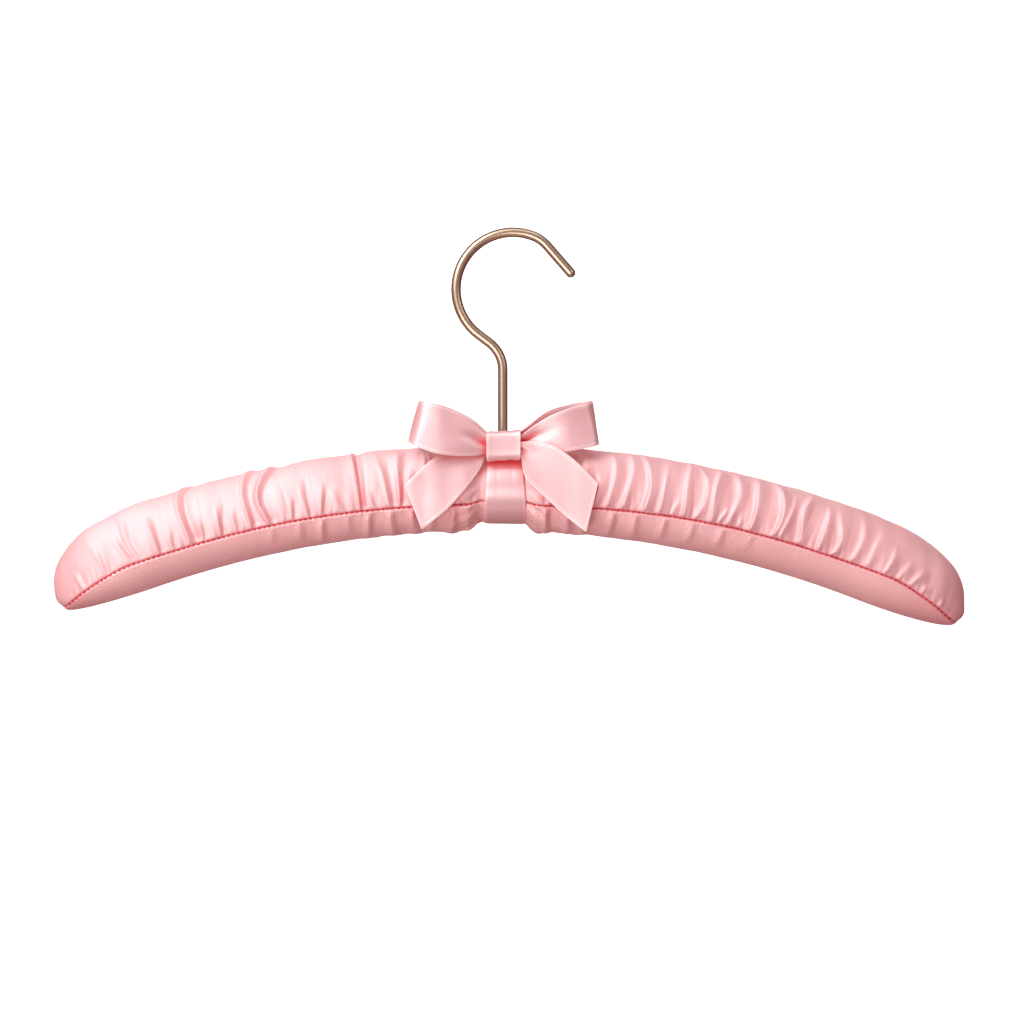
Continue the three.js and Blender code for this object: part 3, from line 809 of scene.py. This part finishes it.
# Soft puckers of the plain panel below the seam, in the same order as the folds above.
UNDER_FOLDS = {
    "left": [
        (21, 20, 19, 22, 0.9, 1.9),
        (29, 29, 27, 16, 0.7, 1.9),
        (37, 38, 40, 20, 0.8, 2.0),
        (47, 47, 48, 18, 0.9, 2.0),
        (57, 58, 59, 19, 1.0, 1.9),
        (66, 66, 66, 11, 0.4, 1.8),
        (78, 79, 80, 15, 0.8, 1.8),
        (88, 88, 89, 10, 0.4, 1.8),
        (101, 102, 103, 9, 0.35, 1.8),
    ],
    "right": [
        (22, 22, 21, 22, 0.9, 1.9),
        (31, 32, 33, 18, 0.8, 1.9),
        (40, 40, 41, 20, 0.8, 2.0),
        (50, 51, 52, 17, 0.8, 1.9),
        (61, 61, 61, 15, 0.6, 1.9),
        (73, 74, 75, 13, 0.6, 1.8),
        (86, 86, 86, 12, 0.5, 1.8),
        (99, 100, 101, 11, 0.5, 1.8),
        (113, 113, 113, 8, 0.3, 1.8),
    ],
}


def under_height(side, s, angle, front_w, back_w):
    direction = SIDES[side]
    height = 1.25 * fold_field(UNDER_FOLDS[side], "under", s, front_w, direction, 13, soft=1.2)
    height += 1.25 * fold_field(UNDER_FOLDS[side], "under", s + 3, back_w, direction, 14, soft=1.2)
    # The folded edge stands up in a fine line below the seam.
    height += 0.3 * np.exp(-(((front_w - 1.0) / 0.45) ** 2))
    height += 0.3 * np.exp(-(((back_w - 1.0) / 0.45) ** 2))
    height += 0.5 * fine_pleats(s, front_w, 51, reach=3)
    height += 0.5 * fine_pleats(s, back_w, 52, reach=3)
    height += 0.4 * puffs(s, front_w, 55 + direction) * (1 - smoothstep(s, 60, 150))
    height += band_puckers(s, angle, 61 + direction)
    return height * smoothstep(s, PINCH_FLAT - 1, PINCH_FLAT + 5)


def panel_grid(side, is_top, free, nose, around, height_of, inset=0.0):
    s = stations(side, PANEL_START, free, nose)[:, None]
    seam_below = seam_angle(side, s)
    t = np.linspace(0, 1, around)[None]
    front = -seam_below if is_top else 2 * math.pi - seam_below
    angle = mix(front, math.pi + seam_below, t)
    grid = bar_points(side, s, angle, inset)
    s, angle = np.broadcast_arrays(s, angle)
    front_w = run_length(grid, 1)
    back_w = front_w[:, -1:] - front_w
    # Near the tip the panel is narrow, so its relief fades out there.
    fade = smoothstep(REACH[side] - s, 0.5, 12)
    height = fade * height_of(side, s, angle, front_w, back_w)
    groove = seam_groove(front_w) + seam_groove(back_w)
    height += groove * smoothstep(front_w[:, -1:], 1, 9)
    normal = grid_normals(grid)
    middle = bar_points(side, s, angle, HALF_DEPTH * 0.6)
    outward = np.sign(np.sum(normal * (grid - middle), axis=-1, keepdims=True))
    uv = np.stack([s, front_w], axis=-1)
    return grid + normal * outward * height[..., None], uv


def panel(side, is_top, material):
    name = f"{side}_{'top' if is_top else 'under'}_cover"
    if is_top:
        grid, uv = panel_grid(side, True, 430, 150, 150, top_height)
    else:
        grid, uv = panel_grid(side, False, 330, 110, 70, under_height)
    faces = grid_faces(*grid.shape[:2])
    piece = clean(mesh_object(name + "_cloth", grid.reshape(-1, 3), faces, uv.reshape(-1, 2)))
    thicken(piece, SATIN_T)
    place(piece, "hanger", material, "cover_satin", name)


def padding(side, material):
    """A sleeve of batting: an outer skin under the cover, and a hollow that fits the core."""
    top, _ = panel_grid(side, True, *BATTING_GRID, 44, top_height, inset=BATTING_INSET)
    under, _ = panel_grid(side, False, *BATTING_GRID, 22, under_height, inset=BATTING_INSET)
    skin = np.concatenate([top, under[:, ::-1][:, 1:-1]], axis=1)
    s = stations(side, PANEL_START, *BATTING_GRID)
    keep = s >= BATTING_START
    centre = skin.mean(axis=1, keepdims=True)
    skin = (centre + (skin - centre) * BATTING_SHRINK)[keep]
    hollow_end = REACH[side] - CORE_END + HOLLOW_MARGIN
    s = np.minimum(s[keep][::-1], hollow_end)
    angle = np.linspace(0, 2 * math.pi, skin.shape[1], endpoint=False) - SEAM_ANGLE[side]

    def squared(value):
        return np.sign(value) * np.abs(value) ** HOLLOW_SQUARENESS

    depth = HOLLOW_HALF_DEPTH * squared(np.cos(angle))
    height = HOLLOW_HALF_HEIGHT * squared(np.sin(angle))
    shrink = np.sqrt(np.clip((hollow_end - s) / HOLLOW_TAPER, 0, 1))[:, None]
    radius = ARC_R + height[None] * shrink
    turn = (STEM_ANGLE + SIDES[side] * s / ARC_R)[:, None]
    hollow = np.stack(
        [
            ARC_X + radius * np.sin(turn),
            -depth[None] * np.ones_like(radius) * np.minimum(1, 0.2 + shrink),
            ARC_Z + radius * np.cos(turn),
        ],
        axis=-1,
    )
    sleeve = np.concatenate([hollow, skin])
    faces = grid_faces(*sleeve.shape[:2], close_columns=True)
    piece = clean(mesh_object(f"{side}_batting", sleeve.reshape(-1, 3), faces))
    place(piece, "hanger", material, "batting", f"{side}_padding")


# ---- Stitches ----
def stitch(start, end, radius, arch, outward, sides=7, rings=7):
    """One stitch: a short thread that dives into the cloth at both ends."""
    t = np.linspace(0, 1, rings)[:, None]
    path = mix(start, end, t) + outward * (np.sin(t * math.pi) * arch - arch * 0.4)
    along = unit(end - start)
    aside = unit(np.cross(along, outward))
    angle = np.linspace(0, 2 * math.pi, sides, endpoint=False)
    ring = aside * np.cos(angle)[:, None] + outward * np.sin(angle)[:, None]
    fat = radius * np.sqrt(np.maximum(0.02, 1 - (2 * t - 1) ** 4))
    grid = path[:, None] + ring[None] * fat[:, None]
    across = np.broadcast_to(np.linspace(0, 2 * math.pi * radius, sides), grid.shape[:2])
    length = np.broadcast_to(t * np.linalg.norm(end - start), grid.shape[:2])
    return grid, np.stack([length, across], axis=-1)


def thread_object(name, stitches):
    points, faces, uv = [], [], []
    for grid, where in stitches:
        closed = capped(grid)
        faces += grid_faces(*closed.shape[:2], close_columns=True, first=len(points))
        points += closed.reshape(-1, 3).tolist()
        uv += np.concatenate([where[:1], where, where[-1:]]).reshape(-1, 2).tolist()
    return clean(mesh_object(name, points, faces, uv))


def seam(side, back, material):
    name = f"{side}_{'back' if back else 'front'}_seam"
    random = np.random.default_rng(71 + SIDES[side] + 10 * back)
    outward = unit(np.array([0, 1.0 if back else -1.0, -0.35]))
    stitches = []
    for s in np.arange(FIRST_STITCH, REACH[side] - LAST_STITCH, STITCH_PITCH):
        both = s + np.array([STITCH_GAP / 2, STITCH_PITCH - STITCH_GAP / 2])
        angle = seam_angle(side, both)
        angle = math.pi + angle if back else -angle
        start, end = bar_points(side, both, angle, STITCH_INSET)
        slant = np.array([0, 0, random.uniform(0.05, 0.16)])
        stitches.append(stitch(start - slant, end + slant, STITCH_R, STITCH_ARCH, outward))
    piece = thread_object(name + "_stitches", stitches)
    place(piece, "hanger", material, "seam_thread", name)


# ---- Ribbon and bow ----
def ribbon_object(name, grid, material, node, cut_end=False):
    """A ribbon from a grid whose columns run across it. Its flat size is its real length. Cloth
    coordinates count from a cut end, or from far off where there is none."""
    across = np.linspace(0, RIBBON_WIDTH, grid.shape[1])[None]
    length = run_length(grid, 0).mean(axis=1)
    along = length[-1] - length if cut_end else 100 + length
    uv = np.stack(np.broadcast_arrays(along[:, None], across), axis=-1)
    faces = grid_faces(*grid.shape[:2])
    piece = clean(mesh_object(name, grid.reshape(-1, 3), faces, uv.reshape(-1, 2)))
    thicken(piece, RIBBON_T, 0.0)
    place(piece, "hanger", material, "ribbon_satin", node)


def ribbon_grid(rows, pinches=(), along=150, across=41):
    """A ribbon between two edges. Each row is (upper edge point, lower edge point, cup), where cup
    swells the middle towards the viewer. Each pinch is (row, reach, place across, depth, width)."""
    upper = spline([row[0] for row in rows], along)
    lower = spline([row[1] for row in rows], along)
    cup = spline([[row[2]] for row in rows], along)
    q = np.linspace(0, 1, across)[None, :, None]
    grid = mix(upper[:, None], lower[:, None], q)
    normal = grid_normals(grid)
    row_number = np.linspace(0, len(rows) - 1, along)[:, None]
    q = q[..., 0]
    # Stiff satin never lies quite flat: soft dents cross each piece.
    dents = np.sin(row_number * 1.9 + 3.1 * q + rows[0][0][0])
    dents = dents + 0.6 * np.sin(row_number * 3.7 - 4.3 * q)
    height = cup * np.sin(q * math.pi) + 0.16 * dents
    for row, reach, at, depth, width in pinches:
        fade = np.exp(-(((row_number - row) / reach) ** 2))
        height = height + depth * fade * np.exp(-(((q - at) / width) ** 2))
    return grid + normal * height[..., None]


# Rows of a bow piece: upper edge (x, y, z), lower edge (x, y, z), cup.
LEFT_LOOP = [
    ((-6, -15.6, -88.6), (-6, -15.6, -94.6), 0.4),
    ((-11.2, -15.8, -86.0), (-11.6, -16.0, -95.3), 0.8),
    ((-17, -17.0, -80.9), (-16.4, -17.6, -96.2), 1.5),
    ((-24, -19.4, -77.0), (-24.5, -20.0, -96.4), 1.1),
    ((-32.4, -21.4, -73.9), (-33.6, -22.0, -95.2), 0.5),
    ((-39.0, -20.2, -72.7), (-42.4, -20.8, -92.0), 0.2),
    ((-41.0, -14.6, -72.4), (-45.4, -15.0, -90.0), 0.0),
    ((-39.4, -9.0, -72.9), (-43.6, -9.0, -90.0), -0.3),
    ((-32, -7.4, -74.6), (-34, -7.4, -92.0), -0.5),
    ((-22, -8.2, -79.0), (-22.5, -8.2, -92.6), -0.6),
    ((-12, -12.2, -87.2), (-12, -12.2, -94.6), -0.3),
    ((-6, -12.9, -88.8), (-6, -12.9, -94.4), 0.0),
]
RIGHT_LOOP = [
    ((-3, -15.4, -88.6), (-3, -15.4, -94.6), 0.4),
    ((3.2, -15.4, -87.4), (3.2, -15.4, -95.2), 0.8),
    ((9.4, -16.2, -83.0), (9.0, -16.4, -95.6), 1.4),
    ((16.8, -17.0, -78.7), (16.6, -17.4, -95.3), 1.3),
    ((25.2, -16.8, -75.5), (25.6, -17.4, -94.1), 0.8),
    ((32.2, -14.8, -73.9), (34.4, -15.4, -92.4), 0.3),
    ((34.6, -11.6, -72.6), (37.2, -11.8, -91.2), 0.0),
    ((33.0, -8.6, -72.0), (35.2, -8.6, -91.0), -0.3),
    ((25.8, -7.2, -73.2), (26.4, -7.2, -92.0), -0.5),
    ((14.6, -8.0, -76.8), (14.4, -8.0, -92.6), -0.6),
    ((3.6, -12.2, -85.4), (3.6, -12.2, -94.4), -0.3),
    ((-3, -12.9, -88.2), (-3, -12.9, -94.4), 0.0),
]
LEFT_TAIL = [
    ((-8, -14.2, -90.6), (-8, -14.2, -95.4), 0.3),
    ((-12.6, -14.2, -91.2), (-11.6, -14.6, -97.0), 0.6),
    ((-18.5, -14.6, -92.4), (-14.6, -16.2, -102.4), 0.8),
    ((-26.4, -15.8, -93.4), (-19.4, -18.0, -109.2), 0.7),
    ((-34.4, -17.8, -97.4), (-27.0, -18.8, -118.0), 0.3),
    ((-41.2, -18.8, -103.4), (-33.4, -19.0, -123.6), 0.2),
    ((-47.0, -19.4, -109.2), (-39.5, -19.0, -128.3), 0.0),
]
RIGHT_TAIL = [
    ((-2, -16.6, -90.0), (-2, -16.6, -94.6), 0.3),
    ((3.6, -16.8, -90.2), (3.4, -16.8, -96.6), 0.9),
    ((10.4, -17.6, -90.2), (4.6, -17.4, -103.8), 1.2),
    ((18.2, -18.4, -92.2), (8.6, -18.6, -109.2), 0.8),
    ((25.0, -19.0, -96.8), (16.4, -19.2, -116.6), 0.3),
    ((31.2, -19.2, -102.4), (24.4, -19.4, -123.8), 0.1),
    ((36.9, -19.4, -108.4), (31.8, -19.8, -129.4), 0.0),
]


def bow(material):
    pieces = {
        "left_bow_loop": (LEFT_LOOP, [(1, 1.6, 0.52, -2.2, 0.13), (1, 1.3, 0.2, 1.0, 0.12)], "folded"),
        "right_bow_loop": (RIGHT_LOOP, [(1, 1.8, 0.42, 1.8, 0.15), (1, 1.3, 0.8, 1.0, 0.12)], "folded"),
        "left_bow_tail": (LEFT_TAIL, [(1, 1.4, 0.5, -0.9, 0.2)], "hung"),
        "right_bow_tail": (RIGHT_TAIL, [(1, 1.2, 0.3, -1.3, 0.16)], "hung"),
    }
    for node, (rows, pinches, held) in pieces.items():
        grid = ribbon_grid(rows, pinches)
        ribbon_object(node + "_ribbon", grid, material, node, cut_end="tail" in node)


def band(material):
    """The ribbon round the middle, narrower at the knot than at the bottom. Its two ends stop
    either side of the stem."""
    turn = np.linspace(0.16, 2 * math.pi - 0.16, 181)[:, None] + math.pi / 2
    t = np.linspace(-1, 1, 31)[None]
    lift = np.sin(turn)
    proud = 0.6
    height = np.where(lift > 0, PINCH_TOP, PINCH_BOTTOM) + proud
    depth = PINCH_DEPTH + proud
    # The front, under the knot, is where the ribbon is drawn in.
    front = np.exp(-(((turn - 2 * math.pi - 0.5) / 0.7) ** 2))
    half = BAND_WIDTH / 2 - 1.2 * front
    # The edges ease down onto the cover, and shallow creases run down from the knot.
    ease = -0.3 * t**6
    crease = np.exp(-(((t - 0.35) / 0.12) ** 2)) + np.exp(-(((t + 0.45) / 0.1) ** 2))
    swell = ease - 0.1 * front * crease
    x = STEM_X + 1.2 + half * t
    y = -(depth + swell) * np.cos(turn)
    z = (height + swell) * lift + BAR_Z - (x - ARC_X) ** 2 / (2 * ARC_R)
    grid = np.stack(np.broadcast_arrays(x, y, z), axis=-1)
    ribbon_object("centre_band_ribbon", grid, material, "centre_band")


def knot(material):
    """The ribbon band round the middle of the bow, joined behind."""
    turn = np.linspace(0, 2 * math.pi, 161)[:, None]
    t = np.linspace(-1, 1, 41)[None]
    middle_y, middle_z = -14, -91.9

    def bulge(value):
        return np.sign(value) * np.abs(value) ** 0.6

    flare = 0.45 * np.abs(t) ** 3
    wrinkle = 0.12 * np.sin(2.6 * math.pi * t + 1.2) + 0.05 * np.sin(7 * math.pi * t)
    wrinkle = wrinkle * np.sin(turn) ** 2
    half_depth = 3.9 + flare
    half_height = 6.3 + 0.5 * flare + wrinkle
    y = middle_y - half_depth * bulge(np.cos(turn))
    lean = 0.05
    z = middle_z + half_height * bulge(np.sin(turn)) + lean * KNOT_WIDTH / 2 * t
    x = STEM_X + 0.4 + (7.2 + 0.15 * np.cos(turn)) * t
    grid = np.stack(np.broadcast_arrays(x, y, z), axis=-1)
    ribbon_object("bow_knot_ribbon", grid, material, "bow_knot")


def tack(material):
    low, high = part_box("bow_tack")
    low, high = np.array(low) / MM, np.array(high) / MM
    stitches = []
    for x in np.linspace(low[0] + 0.4, high[0] - 0.4, 6):
        start = np.array([x, low[1] + 0.25, high[2] - 0.2])
        end = np.array([x + 0.25, high[1] - 0.25, low[2] + 0.2])
        stitches.append(stitch(start, end, 0.24, 0.2, unit(np.array([0, 0.4, 1.0]))))
    place(thread_object("bow_tack_stitches", stitches), "hanger", material, "seam_thread", "bow_tack")


def dress(material, *nodes):
    """Gives CAD nodes that stay in view their real material."""
    for node in nodes:
        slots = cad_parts[node].data.materials
        slots.clear()
        slots.append(material)


# ---- Assembly ----
camera()
cyclorama()
studio()
hook()
top_satin = satin("top_satin", COVER_PINK, COVER_DEEP, weave=1.1, rib=0.2, roughness=0.6)
under_satin = satin("under_satin", UNDER_PINK_SHADED, UNDER_DEEP_SHADED, weave=1.15, rib=0.6, roughness=0.55)
ribbon_satin = satin("ribbon_satin", RIBBON_PINK, RIBBON_DEEP, 0.8, 0.12, 0.42, selvedge=True)
seam_thread = thread()
white_batting = batting()
for side in SIDES:
    panel(side, True, top_satin)
    panel(side, False, under_satin)
    padding(side, white_batting)
    seam(side, False, seam_thread)
    seam(side, True, seam_thread)
band(ribbon_satin)
knot(ribbon_satin)
bow(ribbon_satin)
tack(seam_thread)
dress(beech(), "left_core_arm", "right_core_arm")
dress(washer_steel(), "upper_washer", "lower_washer")
